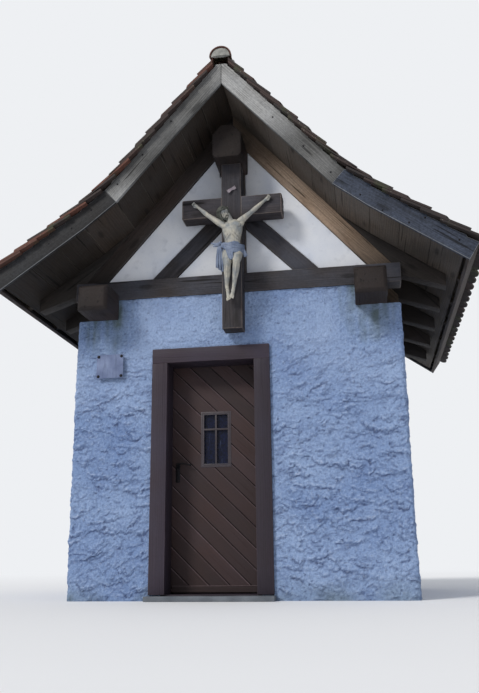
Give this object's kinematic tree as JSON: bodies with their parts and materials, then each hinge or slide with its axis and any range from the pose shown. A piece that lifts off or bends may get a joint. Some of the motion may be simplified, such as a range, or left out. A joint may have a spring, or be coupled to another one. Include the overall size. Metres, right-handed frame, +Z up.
{
  "type": "small wayside chapel",
  "caption": "Small rendered chapel with a timber gable, flared tiled roof with bargeboards, boarded door that opens inward, and a cross with a carved figure under the gable.",
  "frame": {"origin": "centre of the footprint on the ground, midway between the front and back verges of the roof", "axes": "+Z up, +X to the right seen from the front, the front with the door faces -Y"},
  "size_m": [4.3974, 4.06, 4.8361],
  "materials": {
    "render": "rough white lime render",
    "floor_stone": "stone slabs",
    "step_stone": "worn stone",
    "frame_timber": "dark brown stained timber",
    "plaster": "smooth white plaster",
    "roof_board": "weathered boards",
    "batten": "sawn battens",
    "clay_tile": "weathered clay tile",
    "mortar": "grey mortar",
    "bargeboard": "weathered grey board",
    "door_frame_wood": "brown painted boards",
    "door_wood": "brown stained boards",
    "window_wood": "brown painted frame",
    "window_glass": "textured glass",
    "door_iron": "black iron",
    "cross_wood": "dark stained timber",
    "carved_wood": "pale painted carved wood, weathered"
  },
  "bodies": {
    "chapel": {"front_wall_left": "render", "front_wall_right": "render", "front_wall_over_door": "render", "left_wall": "render", "right_wall": "render", "back_wall": "render", "floor_slab": "floor_stone", "door_step": "step_stone", "left_wall_purlin": "frame_timber", "right_wall_purlin": "frame_timber", "ridge_purlin": "frame_timber", "front_tie_beam": "frame_timber", "back_tie_beam": "frame_timber", "front_gable_post": "frame_timber", "back_gable_post": "frame_timber", "front_braces": "frame_timber", "back_braces": "frame_timber", "left_rafters": "frame_timber", "right_rafters": "frame_timber", "left_sprockets": "frame_timber", "right_sprockets": "frame_timber", "front_gable_infill": "plaster", "back_gable_infill": "plaster", "left_roof_boards": "roof_board", "right_roof_boards": "roof_board", "left_battens": "batten", "right_battens": "batten", "left_tile_courses": "clay_tile", "right_tile_courses": "clay_tile", "ridge_tiles": "clay_tile", "ridge_mortar": "mortar", "front_upper_bargeboards": "bargeboard", "front_lower_bargeboards": "bargeboard", "back_upper_bargeboards": "bargeboard", "back_lower_bargeboards": "bargeboard", "left_eave_board": "bargeboard", "right_eave_board": "bargeboard", "door_frame": "door_frame_wood", "door_hinge_pins": "door_iron", "cross_post": "cross_wood", "cross_arm": "cross_wood", "carved_figure": "carved_wood"},
    "door": {"door_leaf": "door_wood", "door_window_frame": "window_wood", "door_glass": "window_glass", "door_handle_plates": "door_iron", "door_hinge_straps": "door_iron"},
    "lever": {"door_lever": "door_iron"}
  },
  "joints": [
    {"name": "door_hinge", "type": "hinge", "parent": "chapel", "child": "door", "pos_m": [0.191, -1.1317, 1], "axis": [0, 0, -1], "range_deg": [0, 90]},
    {"name": "lever_turn", "type": "hinge", "parent": "door", "child": "lever", "pos_m": [-0.5555, -1.17, 1.138], "axis": [0, 1, 0], "range_deg": [0, 40], "stiffness_Nm_per_rad": 1.5}
  ]
}
